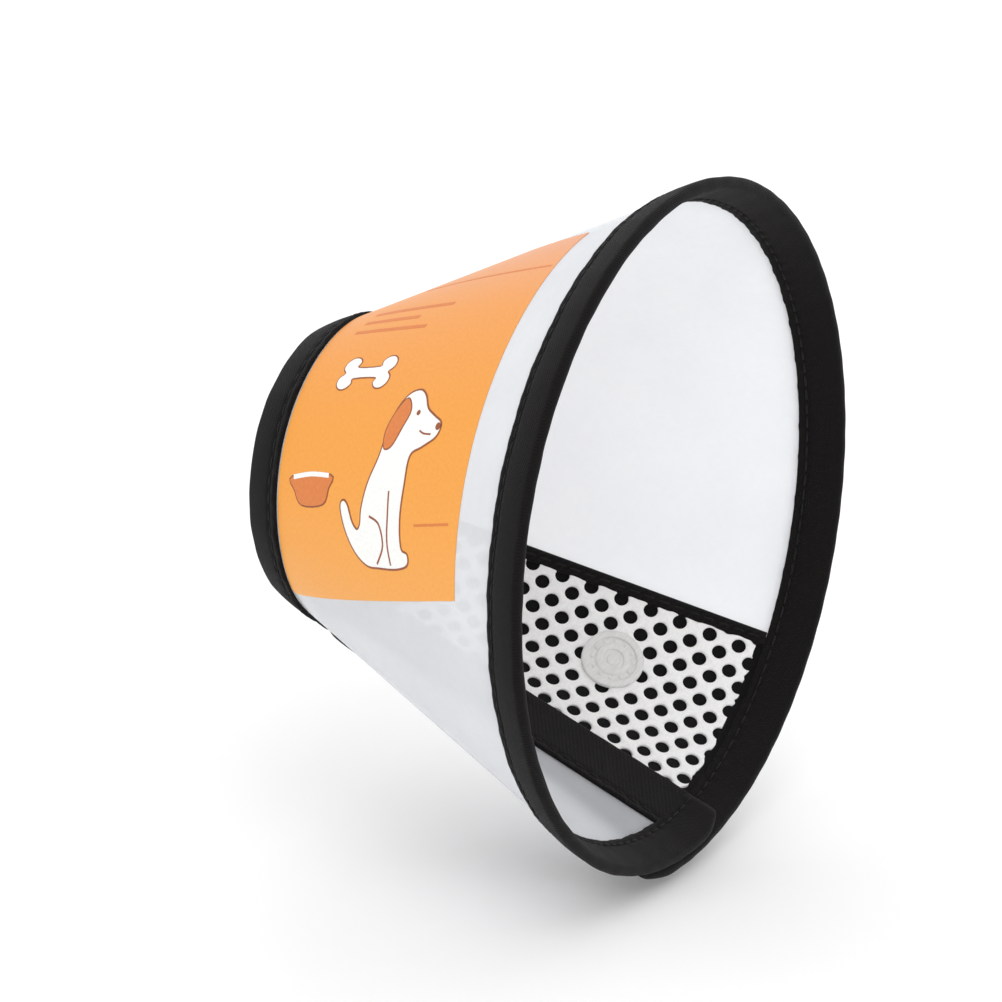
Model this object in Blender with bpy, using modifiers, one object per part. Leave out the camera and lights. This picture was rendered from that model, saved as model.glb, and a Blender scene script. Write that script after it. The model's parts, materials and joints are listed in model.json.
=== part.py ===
"""Elizabethan (pet recovery) collar: a fan of translucent sheet rolled into a cone and closed with hook and loop.

The cone's axis lies along +X, from the neck opening to the mouth, with the closure near the bottom.
The collar stands on z = 0, centred over the origin.
The sheet is cut along straight rulings into panels, and each panel turns about the ruling between it
and its neighbour, so that the cone opens out into its flat fan. The tapes are cut at the same rulings.

A place on the wall is given by:
  turn    degrees round the axis from the inner flap's free edge
  reach   mm from the cone's apex, along the wall
  height  mm outward from the middle of the sheet
"""
import math

import bmesh
import bpy
from mathutils import Vector

MM = 0.001                    # dimensions below are in millimetres and degrees

# ---- cone and sheet
CONE_HALF_ANGLE = 27.0        # between the axis and the slanting wall
MOUTH_RADIUS = 65.0           # sheet's edge at the wide mouth
WALL_LENGTH = 86.0            # neck edge to mouth edge, along the wall
SHEET_THICKNESS = 0.7
CLOSURE_EDGE = -76.0          # free edge of the inner flap, round the axis, 0 at +Y and 90 at +Z
LAYER_STEP = 3.6              # between the two layers where the ends overlap
UNLIFTED_TURN = 0.55          # part of a full turn at which the spiral lies on the true cone

# ---- panels
INNER_FLAP_ANGLE = 34.0
PANEL_ANGLE = 26.8            # every other panel
WALL_PANELS = 10
FACET_ANGLE = 7.3             # target width of a facet
HINGE_GAP_SHEET = 0.25        # each side of a ruling
HINGE_GAP_TAPE = 0.55         # the same, so that the folded tapes clear when the fan is flat

# ---- tapes
TAPE_WIDTH = 7.8              # how far each folded tape reaches in over the sheet
TAPE_THICKNESS = 0.8
FOLD_GAP = 0.3                # sheet face to whatever lies on it
ARC_TAPE_OVERHANG = 1.1       # arc tapes past the sheet's two free ends
END_TAPE_GAP = 0.4            # arc tape to the pieces between the arc tapes
END_TAPE_STEPS = 8            # along the ruling
END_TAPE_FACE_STEPS = 3       # across each face of the fold
INNER_END_INSIDE = 12.5       # reach of the inner flap's wider end tape, inside
INNER_END_OUTSIDE = 3.0       # and outside, where the hook strip follows

# ---- closure
PATCH_FACETS = 5
END_TAPE_CLEARANCE = 0.8      # end tape to the hook strip or loop pad beside it
HOOK_WIDTH = 9.0
HOOK_THICKNESS = 0.9
PAD_THICKNESS = 0.9
PAD_SEAM = 0.3                # pad to the ruling between two panels
EDGING_OFFSET = 5.4           # from the first pad ruling to the pad's edging, at the neck tape
EDGING_SPLAY = 0.202          # how much further that is, for each mm towards the mouth
EDGING_WIDTH = 2.6
EDGING_GAP = 0.4              # edging to pad
EDGING_FACETS = 2
EDGING_EXTRA = 0.2            # edging thicker than the pad

# ---- round badge
BADGE_TURN = 336.9
BADGE_PLACE = 0.61            # part of the wall's length, from the neck edge
BADGE_RADIUS = 6.0
BADGE_THICKNESS = 0.35
BADGE_SEGMENTS = 32
BADGE_STANDOFF = 0.62         # pad's face to the badge's middle

# ---- printed film
LABEL_AXIS = 141.4            # ruling that the film's straight edges are parallel to, when flat
LABEL_BELOW = 36.0            # from that ruling to the film's lower edge, flat
LABEL_ABOVE = 46.0            # and to its upper edge
LABEL_NECK_MARGIN = 0.6       # bare sheet between the film and the neck tape
LABEL_MOUTH_MARGIN = 11.4     # and between the film and the mouth tape
LABEL_END_HEIGHT = 1.5        # film's extent along its end rulings, where it is narrowest
LABEL_SEAM = 0.5              # film to the ruling between two panels
LABEL_MIN_ANGLE = 3.0         # narrower pieces are left out
LABEL_THICKNESS = 0.2

# ---- worked out from them
SIN = math.sin(math.radians(CONE_HALF_ANGLE))
COS = math.cos(math.radians(CONE_HALF_ANGLE))
MOUTH_REACH = MOUTH_RADIUS / SIN
NECK_REACH = MOUTH_REACH - WALL_LENGTH
FOLD_OUT = FOLD_GAP + TAPE_THICKNESS / 2              # sheet's edge to the middle of the fold
TAPE_HEIGHT = SHEET_THICKNESS / 2 + FOLD_OUT
HOOK_HEIGHT = SHEET_THICKNESS / 2 + FOLD_GAP + HOOK_THICKNESS / 2
PAD_HEIGHT = -(SHEET_THICKNESS / 2 + FOLD_GAP + PAD_THICKNESS / 2)
LABEL_HEIGHT = SHEET_THICKNESS / 2 + FOLD_GAP + LABEL_THICKNESS / 2
BETWEEN_LOW = NECK_REACH + TAPE_WIDTH + END_TAPE_GAP      # clear wall between the arc tapes
BETWEEN_HIGH = MOUTH_REACH - TAPE_WIDTH - END_TAPE_GAP
LABEL_LOW = NECK_REACH + TAPE_WIDTH + LABEL_NECK_MARGIN
LABEL_HIGH = MOUTH_REACH - TAPE_WIDTH - LABEL_MOUTH_MARGIN

BODIES = ["inner_flap"]
BODIES += [f"panel_{i:02d}" for i in range(1, WALL_PANELS + 1)]
BODIES += ["pad_panel_1", "pad_panel_2", "outer_flap"]
ROOT = 6                      # index of the panel at the top; the others unroll from it to both sides
BOUNDS = [0.0] + [INNER_FLAP_ANGLE + PANEL_ANGLE * i for i in range(len(BODIES))]


# ---- geometry of the rolled wall
def directions(turn):
    """Unit vectors along the ruling, outward, and round the axis towards smaller turn."""
    angle = math.radians(CLOSURE_EDGE - turn)
    along = Vector((COS, SIN * math.cos(angle), SIN * math.sin(angle)))
    outward = Vector((-SIN, COS * math.cos(angle), COS * math.sin(angle)))
    tangent = Vector((0.0, -math.sin(angle), math.cos(angle)))
    return along, outward, tangent


def degrees_round(reach, distance):
    """Turn that covers a distance round the wall."""
    return math.degrees(distance / (reach * SIN))


def wall(turn, reach, height=0.0, across=0.0):
    """Point of the rolled wall, moved across mm round towards larger turn.

    The roll is a slow spiral, each turn LAYER_STEP further out, so that the overlapping ends
    lie parallel and don't touch.
    """
    turn += degrees_round(reach, across)
    along, outward, tangent = directions(turn)
    lift = LAYER_STEP * (turn / 360.0 - UNLIFTED_TURN)
    sideways = LAYER_STEP / (2 * math.pi) / COS
    return reach * along + (lift + height) * outward - sideways * tangent


def evenly(start, end, count):
    return [start + (end - start) * k / count for k in range(count + 1)]


def facet_count(start, end):
    return max(1, round((end - start) / FACET_ANGLE))


def columns_between(profile, left, right, count):
    """Columns of a strip. profile lists (reach, height); left and right give turn at a reach."""
    rings = [[wall(turn, reach, height) for turn in evenly(left(reach), right(reach), count)]
             for reach, height in profile]
    return list(zip(*rings))


# ---- objects
def material(name, colour, roughness, alpha=1.0):
    made = bpy.data.materials.new(name)
    made.use_nodes = True
    shader = made.node_tree.nodes["Principled BSDF"]
    shader.inputs["Base Color"].default_value = (*colour, 1.0)
    shader.inputs["Roughness"].default_value = roughness
    shader.inputs["Alpha"].default_value = alpha
    return made


def add_empty(name, parent=None, location=(0.0, 0.0, 0.0)):
    empty = bpy.data.objects.new(name, None)
    empty.location = location
    empty.parent = parent
    COLLECTION.objects.link(empty)
    return empty


def place(obj, body):
    COLLECTION.objects.link(obj)
    obj.parent = PARENTS[body]


def swept(name, columns, thickness, body, mat):
    """Open surface extruded from column to column, given its thickness by Solidify."""
    hinge = PIVOTS[body]
    bm = bmesh.new()
    verts = [bm.verts.new((point - hinge) * MM) for point in columns[0]]
    edges = [bm.edges.new(pair) for pair in zip(verts, verts[1:])]
    for column in columns[1:]:
        made = bmesh.ops.extrude_edge_only(bm, edges=edges)["geom"]
        fresh = [item for item in made if isinstance(item, bmesh.types.BMVert)]
        # each new vertex still lies on the one it was extruded from
        verts = [min(fresh, key=lambda new: (new.co - old.co).length) for old in verts]
        for vert, point in zip(verts, column):
            vert.co = (point - hinge) * MM
        edges = [item for item in made if isinstance(item, bmesh.types.BMEdge)
                 and all(vert in verts for vert in item.verts)]
    bmesh.ops.recalc_face_normals(bm, faces=bm.faces)
    mesh = bpy.data.meshes.new(name)
    bm.to_mesh(mesh)
    bm.free()
    mesh.materials.append(mat)
    obj = bpy.data.objects.new(name, mesh)
    solid = obj.modifiers.new("Solidify", "SOLIDIFY")
    solid.thickness = thickness * MM
    solid.offset = 0.0
    solid.use_even_offset = True
    place(obj, body)


def panel_columns(index, gap, profile, overhang=0.0):
    """Columns across a panel, drawn in by gap at a neighbour and moved out by overhang at a free end."""
    start, end = BOUNDS[index], BOUNDS[index + 1]
    start_inset = gap if index > 0 else -overhang
    end_inset = gap if index < len(BODIES) - 1 else -overhang
    return columns_between(profile,
                           lambda reach: start + degrees_round(reach, start_inset),
                           lambda reach: end - degrees_round(reach, end_inset),
                           facet_count(start, end))


def build_panel(index):
    """One panel of the sheet, and the tapes folded over its mouth and neck edges."""
    body, tag = BODIES[index], f"{index + 1:02d}"
    sheet = [(NECK_REACH, 0.0), (MOUTH_REACH, 0.0)]
    swept("cone_sheet_" + tag, panel_columns(index, HINGE_GAP_SHEET, sheet),
          SHEET_THICKNESS, body, SHEET)
    for name, edge, fold in (
        ("rim_tape_", MOUTH_REACH - TAPE_WIDTH, MOUTH_REACH + FOLD_OUT),
        ("neck_tape_", NECK_REACH + TAPE_WIDTH, NECK_REACH - FOLD_OUT),
    ):
        profile = [(edge, -TAPE_HEIGHT), (fold, -TAPE_HEIGHT), (fold, TAPE_HEIGHT), (edge, TAPE_HEIGHT)]
        swept(name + tag, panel_columns(index, HINGE_GAP_TAPE, profile, ARC_TAPE_OVERHANG),
              TAPE_THICKNESS, body, TAPE)


def build_end_tape(name, turn, inside, outside, side, body):
    """Tape folded over a straight free end. side is +1 where the sheet lies at larger turn."""
    steps = range(1, END_TAPE_FACE_STEPS + 1)
    # (distance in over the sheet, height)
    profile = [(inside * k / END_TAPE_FACE_STEPS, -TAPE_HEIGHT) for k in reversed(steps)]
    profile += [(-FOLD_OUT, -TAPE_HEIGHT), (-FOLD_OUT, TAPE_HEIGHT)]
    profile += [(outside * k / END_TAPE_FACE_STEPS, TAPE_HEIGHT) for k in steps]
    columns = [[wall(turn, reach, height, side * distance) for distance, height in profile]
               for reach in evenly(BETWEEN_LOW, BETWEEN_HIGH, END_TAPE_STEPS)]
    swept(name, columns, TAPE_THICKNESS, body, TAPE)


def build_patch(name, body, mat, height, thickness, left, right, facets=PATCH_FACETS):
    """Strip between the arc tapes. left and right are each (edge, mm from it towards larger turn),
    the edge being a function that gives turn at a reach."""
    def edge_function(edge, distance):
        return lambda reach: edge(reach) + degrees_round(reach, distance)

    profile = [(BETWEEN_LOW, height), (BETWEEN_HIGH, height)]
    columns = columns_between(profile, edge_function(*left), edge_function(*right), facets)
    swept(name, columns, thickness, body, mat)


def ruling(index):
    """The straight edge at a panel boundary, for build_patch."""
    return lambda reach: BOUNDS[index]


def edging(reach):
    """Upper side of the pad's edging. It is straight on the flat sheet, splayed from the first pad ruling."""
    return BOUNDS[-4] + degrees_round(reach, EDGING_OFFSET + EDGING_SPLAY * (reach - BETWEEN_LOW))


def build_closure():
    """Hook strip outside the inner flap; loop pad and its edging inside the last three panels."""
    hook_start = INNER_END_OUTSIDE + END_TAPE_CLEARANCE
    build_patch("hook_strip", "inner_flap", HOOK, HOOK_HEIGHT, HOOK_THICKNESS,
                (ruling(0), hook_start), (ruling(0), hook_start + HOOK_WIDTH))
    for name, body, left, right in (
        ("upper", "pad_panel_1", (edging, EDGING_WIDTH + EDGING_GAP), (ruling(-3), -PAD_SEAM)),
        ("middle", "pad_panel_2", (ruling(-3), PAD_SEAM), (ruling(-2), -PAD_SEAM)),
        ("lower", "outer_flap", (ruling(-2), PAD_SEAM),
         (ruling(-1), -(TAPE_WIDTH + END_TAPE_CLEARANCE))),
    ):
        build_patch("loop_pad_" + name, body, LOOP, PAD_HEIGHT, PAD_THICKNESS, left, right)
    build_patch("loop_pad_edging", "pad_panel_1", TAPE,
                PAD_HEIGHT - EDGING_EXTRA / 2, PAD_THICKNESS + EDGING_EXTRA,
                (edging, 0.0), (edging, EDGING_WIDTH), EDGING_FACETS)


def build_badge():
    """Round badge on the pad's inner face, lying in the wall's tangent plane there."""
    outward = directions(BADGE_TURN)[1]
    middle = wall(BADGE_TURN, NECK_REACH + BADGE_PLACE * WALL_LENGTH,
                  PAD_HEIGHT - PAD_THICKNESS / 2 - BADGE_STANDOFF)
    bpy.ops.mesh.primitive_cylinder_add(
        vertices=BADGE_SEGMENTS, radius=BADGE_RADIUS * MM, depth=BADGE_THICKNESS * MM)
    badge = bpy.context.object
    badge.name = "badge"
    for collection in list(badge.users_collection):
        collection.objects.unlink(badge)
    badge.data.materials.append(RUBBER)
    place(badge, "pad_panel_2")
    badge.location = (middle - PIVOTS["pad_panel_2"]) * MM
    badge.rotation_mode = "QUATERNION"
    badge.rotation_quaternion = (-outward).to_track_quat("Z", "Y")


def label_high(turn):
    """Reach of the film's mouth side along a ruling: its arc, or a straight edge where that is nearer."""
    turned = math.sin(math.radians((turn - LABEL_AXIS) * SIN))
    if abs(turned) <= 1e-6:       # the ruling is parallel to the straight edges
        return LABEL_HIGH
    distance = LABEL_ABOVE if turned > 0 else LABEL_BELOW
    return min(LABEL_HIGH, distance / abs(turned))


def label_end(distance):
    """Degrees round from the film's axis to its end, near where its straight edge meets the neck arc."""
    return math.degrees(math.asin(distance / (LABEL_LOW + LABEL_END_HEIGHT))) / SIN


def build_label():
    """Printed film outside. Flat, it has two parallel straight edges and an arc at neck and mouth."""
    seam = degrees_round(LABEL_LOW, LABEL_SEAM)
    count = 0
    for body, lower, upper in zip(BODIES, BOUNDS, BOUNDS[1:]):
        start = max(lower + seam, LABEL_AXIS - label_end(LABEL_BELOW))
        end = min(upper - seam, LABEL_AXIS + label_end(LABEL_ABOVE))
        if end - start < LABEL_MIN_ANGLE:
            continue
        count += 1
        columns = [[wall(turn, LABEL_LOW, LABEL_HEIGHT), wall(turn, label_high(turn), LABEL_HEIGHT)]
                   for turn in evenly(start, end, facet_count(start, end))]
        swept(f"label_{count:02d}", columns, LABEL_THICKNESS, body, FILM)


def stand_on_ground():
    """Move the frame so that the collar stands on z = 0, centred over the origin."""
    bpy.context.view_layer.update()
    graph = bpy.context.evaluated_depsgraph_get()
    points = []
    for obj in COLLECTION.objects:
        if obj.type == "MESH":
            solid = obj.evaluated_get(graph)
            points += [solid.matrix_world @ vert.co for vert in solid.data.vertices]
    low = Vector([min(values) for values in zip(*points)])
    high = Vector([max(values) for values in zip(*points)])
    FRAME.location = (-(low.x + high.x) / 2, -(low.y + high.y) / 2, -low.z)
    bpy.context.view_layer.update()


for old_object in list(bpy.data.objects):
    bpy.data.objects.remove(old_object, do_unlink=True)
COLLECTION = bpy.data.collections.new("elizabethan_collar")
bpy.context.scene.collection.children.link(COLLECTION)

SHEET = material("frosted_sheet", colour=(0.90, 0.91, 0.92), roughness=0.3, alpha=0.45)
TAPE = material("black_tape", colour=(0.02, 0.02, 0.021), roughness=0.85)
LOOP = material("loop_mesh", colour=(0.88, 0.88, 0.88), roughness=0.8)
HOOK = material("hook_tape", colour=(0.015, 0.015, 0.016), roughness=0.7)
FILM = material("label_film", colour=(0.98, 0.56, 0.16), roughness=0.4)
RUBBER = material("badge_rubber", colour=(0.80, 0.80, 0.79), roughness=0.5)

# one empty for the collar and one on each panel's hinge ruling, on its side towards the root
# (the root's own is at its larger turn)
FRAME = add_empty("collar_frame")
PIVOTS, PARENTS = {}, {}
for i, body_name in enumerate(BODIES):
    hinge_turn = BOUNDS[i] if i > ROOT else BOUNDS[i + 1]
    PIVOTS[body_name] = wall(hinge_turn, (NECK_REACH + MOUTH_REACH) / 2)
    PARENTS[body_name] = add_empty(body_name + "_pivot", FRAME, PIVOTS[body_name] * MM)

for i in range(len(BODIES)):
    build_panel(i)
build_end_tape("inner_end_tape", BOUNDS[0], INNER_END_INSIDE, INNER_END_OUTSIDE, 1.0, "inner_flap")
build_end_tape("outer_end_tape", BOUNDS[-1], TAPE_WIDTH, TAPE_WIDTH, -1.0, "outer_flap")
build_closure()
build_badge()
build_label()
stand_on_ground()
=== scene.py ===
"""A collar of frosted sheet rolled into a cone, with taped edges, a closing pad and a printed film.

The cone's axis lies along X with the mouth towards +X. The sheet starts underneath, goes round by
the -Y side and over the top, and its outer flap ends outside its inner flap.

Shapes are laid out in sheet coordinates before they are bent:
turn (degrees round the axis), reach (mm from the apex) and rise (mm outward from mid-sheet).
"""
import json
import math

import bmesh
import bpy
import numpy as np
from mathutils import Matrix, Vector

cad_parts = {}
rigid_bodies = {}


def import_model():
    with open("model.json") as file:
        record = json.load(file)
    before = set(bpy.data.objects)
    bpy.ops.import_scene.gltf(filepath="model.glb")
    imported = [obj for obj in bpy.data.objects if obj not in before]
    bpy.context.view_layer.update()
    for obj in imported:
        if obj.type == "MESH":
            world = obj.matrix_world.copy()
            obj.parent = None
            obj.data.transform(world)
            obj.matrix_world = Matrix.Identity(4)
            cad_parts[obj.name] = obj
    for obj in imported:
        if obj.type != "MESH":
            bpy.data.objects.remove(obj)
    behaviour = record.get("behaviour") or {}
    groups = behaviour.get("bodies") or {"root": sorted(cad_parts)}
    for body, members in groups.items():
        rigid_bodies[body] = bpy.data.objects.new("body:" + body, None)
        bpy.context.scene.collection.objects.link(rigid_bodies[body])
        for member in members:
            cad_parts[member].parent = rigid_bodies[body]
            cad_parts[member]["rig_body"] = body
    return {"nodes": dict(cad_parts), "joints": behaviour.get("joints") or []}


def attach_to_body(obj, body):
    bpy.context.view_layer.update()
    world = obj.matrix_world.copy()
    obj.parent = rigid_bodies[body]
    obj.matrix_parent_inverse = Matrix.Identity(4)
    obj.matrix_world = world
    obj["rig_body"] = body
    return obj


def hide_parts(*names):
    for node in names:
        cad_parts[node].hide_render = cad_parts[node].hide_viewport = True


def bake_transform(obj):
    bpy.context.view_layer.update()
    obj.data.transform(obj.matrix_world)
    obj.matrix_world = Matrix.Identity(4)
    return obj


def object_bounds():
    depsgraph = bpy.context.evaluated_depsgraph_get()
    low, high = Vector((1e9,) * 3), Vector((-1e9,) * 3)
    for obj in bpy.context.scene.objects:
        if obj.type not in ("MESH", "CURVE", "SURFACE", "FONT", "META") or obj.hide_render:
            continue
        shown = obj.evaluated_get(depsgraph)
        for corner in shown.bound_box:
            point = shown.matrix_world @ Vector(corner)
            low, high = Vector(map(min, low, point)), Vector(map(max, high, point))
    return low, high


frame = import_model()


def model_bounds():
    return [[float(x) for x in corner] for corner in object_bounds()]


CAD_BOUNDS = model_bounds()
scene = bpy.context.scene

# ---- sizes, in mm and degrees
MM = 0.001
SIN, COS = math.sin(math.radians(27.0)), math.cos(math.radians(27.0))   # the cone's half angle
SHEET_WIDTH = 86.0
R_OUT = 65.0 / SIN                  # reach of the mouth edge
R_IN = R_OUT - SHEET_WIDTH          # reach of the neck edge
R_MID = (R_IN + R_OUT) / 2
EDGE = -76.0                        # angle of the inner straight end, from +Y towards +Z
STEP = 3.6                          # how far the sheet spirals outward in one full turn

# hinges between the panels, by turn, and the bodies between them
BOUNDS = [0.0, 34.0]
for _ in range(13):
    BOUNDS.append(BOUNDS[-1] + 26.8)
MIDS = [(a + b) / 2 for a, b in zip(BOUNDS, BOUNDS[1:])]
BODIES = ["inner_flap", *(f"panel_{i:02d}" for i in range(1, 11)),
          "pad_panel_1", "pad_panel_2", "outer_flap"]
FIRST, LAST = BOUNDS[-4], BOUNDS[-1]    # start of the pad, and the outer straight end

SHEET_HALF = 0.35                   # half the sheet's thickness
TAPE = 7.8                          # width of a folded tape on each face
TAPE_GAP = 0.42                     # rise of a tape's underside
TAPE_STEP = 0.75                    # spacing of the tapes' cross-sections
INNER_END, INNER_OUTSIDE = 12.5, 3.0    # widths of the inner end's tape, inside and outside
LOW, HIGH = R_IN + TAPE + 0.4, R_OUT - TAPE - 0.4   # reach left clear between the round tapes

STITCH_PITCH = 3.0
SEAM_IN = 1.5                       # seam's distance from a tape's cut edge
SEAM_RISE = 1.17

HOOK_WIDTH = 9.0
HOOK_START = INNER_OUTSIDE + 0.8
HOOK_PITCH = 1.35

PAD_TURN = 331.6                    # the rows of holes run parallel to this ruling when flat
HALF_U, HALF_V = 3.015, 2.62        # half diagonals of one diamond cell of the net
NET_START = 85.44, -7.77            # flat position of cell 0 in row 0
HOLE = 1.36                         # hole radius
NET_TOP = 134.1                     # reach of the net's ragged upper edge

BADGE_TURN, BADGE_REACH = 336.9, R_IN + 0.61 * SHEET_WIDTH
BADGE_RISE = -1.30

LABEL_TURN = 141.4                  # ruling that the film is laid out from
BELOW, ABOVE = 36.0, 46.0           # the film's extent on each side of that ruling
LABEL_LOW, LABEL_HIGH = R_IN + TAPE + 0.6, R_OUT - TAPE - 11.4


# ---- from sheet coordinates to the model
def deg(mm, reach):
    """A length round the sheet, as degrees of turn."""
    return np.degrees(mm / (reach * SIN))


def arc(turn, reach):
    """A turn, as mm round the sheet."""
    return np.radians(turn) * SIN * reach


def spiral(turn):
    return STEP * (turn / 360.0 - 0.55)


def cone_point(turn, reach, lift):
    """A point in metres, its apex at the origin. lift is square to the cone's surface."""
    angle = np.radians(EDGE - turn)
    y, z = np.cos(angle), np.sin(angle)
    drift = STEP / (2 * math.pi) / COS
    return np.stack([reach * COS - lift * SIN,
                     reach * SIN * y + lift * COS * y + drift * z,
                     reach * SIN * z + lift * COS * z - drift * y], -1) * MM


unroll = next(joint for joint in frame["joints"] if joint["name"] == "unroll")
OFFSET = (np.array([float(x) for x in unroll["pos_m"]])
          - cone_point(BOUNDS[7], R_MID, spiral(BOUNDS[7])))


def place(turn, reach, rise):
    """Sheet coordinates to metres, with the slight unevenness that rolled sheet has."""
    turn, reach, rise = (np.asarray(v, float) for v in (turn, reach, rise))
    # the four corners are rounded off, over 8 mm along the edge and 12 mm across the sheet
    from_end = np.radians(np.minimum(turn, LAST - turn)) * SIN * reach
    corner = np.clip(1 - from_end / 8.0, 0, 1.15) ** 2
    at_mouth = np.clip((reach - R_OUT + 12) / 12, 0, 1.1) ** 2
    at_neck = np.clip((R_IN + 12 - reach) / 12, 0, 1.1) ** 2
    reach = reach - corner * (1.5 * at_mouth - 1.1 * at_neck)
    # two gentle waves run round, fullest at mid-width
    width_share = np.clip((reach - R_IN) / SHEET_WIDTH, 0, 1)
    wave = (0.20 * np.sin(np.radians(turn * 3.1) + 0.7)
            + 0.10 * np.sin(np.radians(turn * 5.3) + 2.1))
    wave = wave * (0.35 + 0.65 * np.sin(np.pi * width_share))
    # the outer flap is pressed in by 0.55 mm
    press = np.clip((turn - 342.0) / 20.0, 0, 1)
    lift = spiral(turn) + rise + wave - 0.55 * press * press * (3 - 2 * press)
    return cone_point(turn, reach, lift) + OFFSET


# ---- layers: meshes in sheet coordinates
class Layer:
    """Vertices in sheet coordinates, faces, and a material number for each face."""

    def __init__(self):
        self.verts, self.faces, self.slots = [], [], []

    def add(self, verts, faces, slot=0):
        base = len(self.verts)
        self.verts += [tuple(v) for v in verts]
        self.faces += [tuple(base + i for i in face) for face in faces]
        self.slots += [slot] * len(faces)

    def sweep(self, columns, slot=0, caps=True):
        """A closed profile carried through the columns."""
        n = len(columns[0])
        verts = [point for column in columns for point in column]
        faces = [(i * n + j, i * n + (j + 1) % n, (i + 1) * n + (j + 1) % n, (i + 1) * n + j)
                 for i in range(len(columns) - 1) for j in range(n)]
        if caps:
            faces += [tuple(range(n)), tuple(reversed(range(len(verts) - n, len(verts))))]
        self.add(verts, faces, slot)


def marks(start, stop, step):
    """Evenly stepped places from start, short of stop."""
    while start < stop:
        yield start
        start += step


def bm_from(verts, faces, slots):
    bm = bmesh.new()
    made = [bm.verts.new(v) for v in verts]
    for corners, slot in zip(faces, slots):
        if len(set(corners)) < 3:
            continue
        try:
            face = bm.faces.new([made[i] for i in corners])
            face.material_index = slot
        except ValueError:
            pass    # guards against two faces on the same vertices: the second is left out
    return bm


def bisect(bm, point, normal, **clear):
    bmesh.ops.bisect_plane(bm, geom=bm.verts[:] + bm.edges[:] + bm.faces[:], dist=1e-4,
                           plane_co=point, plane_no=normal, **clear)


def outward(layer):
    """Turns every closed shell's faces out, in sheet coordinates."""
    bm = bm_from(layer.verts, layer.faces, layer.slots)
    bmesh.ops.recalc_face_normals(bm, faces=bm.faces)
    layer.verts = [tuple(v.co) for v in bm.verts]
    bm.verts.index_update()
    layer.faces = [tuple(v.index for v in face.verts) for face in bm.faces]
    layer.slots = [face.material_index for face in bm.faces]
    bm.free()


def shell_turns(layer, turns):
    """For each face, the mean turn of the connected shell it belongs to."""
    parent = np.arange(len(turns))

    def root(i):
        while parent[i] != i:
            parent[i] = parent[parent[i]]
            i = parent[i]
        return i

    for face in layer.faces:
        first = root(face[0])
        for i in face:
            other = root(i)
            if first != other:
                parent[other] = first
    roots = np.array([root(i) for i in range(len(turns))])
    total = np.bincount(roots, turns, len(turns))
    count = np.maximum(np.bincount(roots, minlength=len(turns)), 1)
    centre = (total / count)[roots]
    return np.array([centre[face[0]] for face in layer.faces])


def cut_part(layer, picked, ends, whole):
    """The picked faces as a bmesh, cut off at both end rulings unless shells stay whole."""
    used = sorted({i for p in picked for i in layer.faces[p]})
    index = {old: new for new, old in enumerate(used)}
    bm = bm_from([layer.verts[i] for i in used],
                 [[index[i] for i in layer.faces[p]] for p in picked],
                 [layer.slots[p] for p in picked])
    bm.normal_update()
    bmesh.ops.triangulate(bm, faces=[face for face in bm.faces if len(face.verts) > 4])
    if whole:
        return bm
    turns = [layer.verts[i][0] for i in used]
    for at, side in zip(ends, (-1, 1)):
        if min(turns) < at < max(turns):
            bisect(bm, (at, 0, 0), (1, 0, 0), clear_inner=side < 0, clear_outer=side > 0)
        near = at - 0.06 * side     # a narrow row of faces beside the cut
        if min(turns) < near < max(turns):
            bisect(bm, (near, 0, 0), (1, 0, 0))
    return bm


def bend(bm, coords, uv, sharp):
    """Writes the UV map, moves the vertices onto the cone and marks the sharp edges."""
    u, v = uv(coords[:, 0], coords[:, 1], coords[:, 2])
    bm.verts.index_update()
    uv_layer = bm.loops.layers.uv.new("mm")
    for face in bm.faces:
        face.smooth = True
        for loop in face.loops:
            i = loop.vert.index
            loop[uv_layer].uv = (u[i], v[i])
    for vert, point in zip(bm.verts, place(coords[:, 0], coords[:, 1], coords[:, 2])):
        vert.co = point
    for edge in bm.edges:
        if len(edge.link_faces) == 2 and edge.calc_face_angle(0.0) > math.radians(sharp):
            edge.smooth = False


def attach(obj, k):
    """Makes an end part follow its body; a part that lies between two bodies is only baked in place
    and follows neither. Returns those bodies, main one first.
    """
    if k in (0, len(MIDS)):
        body = BODIES[0 if k == 0 else -1]
        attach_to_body(obj, body)
        return [body]
    start, end = MIDS[k - 1], MIDS[k]
    hinges = [[float(x) for x in place(mid, R_MID, 0.0)] for mid in (start, end)]
    BODIES[k - 1]
    BODIES[k]
    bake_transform(obj)
    return [BODIES[k], BODIES[k - 1]]


body_nodes = {}
for cad_name, cad_object in frame["nodes"].items():
    body_nodes.setdefault(cad_object["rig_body"], []).append(cad_name)
taken = set()       # CAD nodes already stood for


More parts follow.
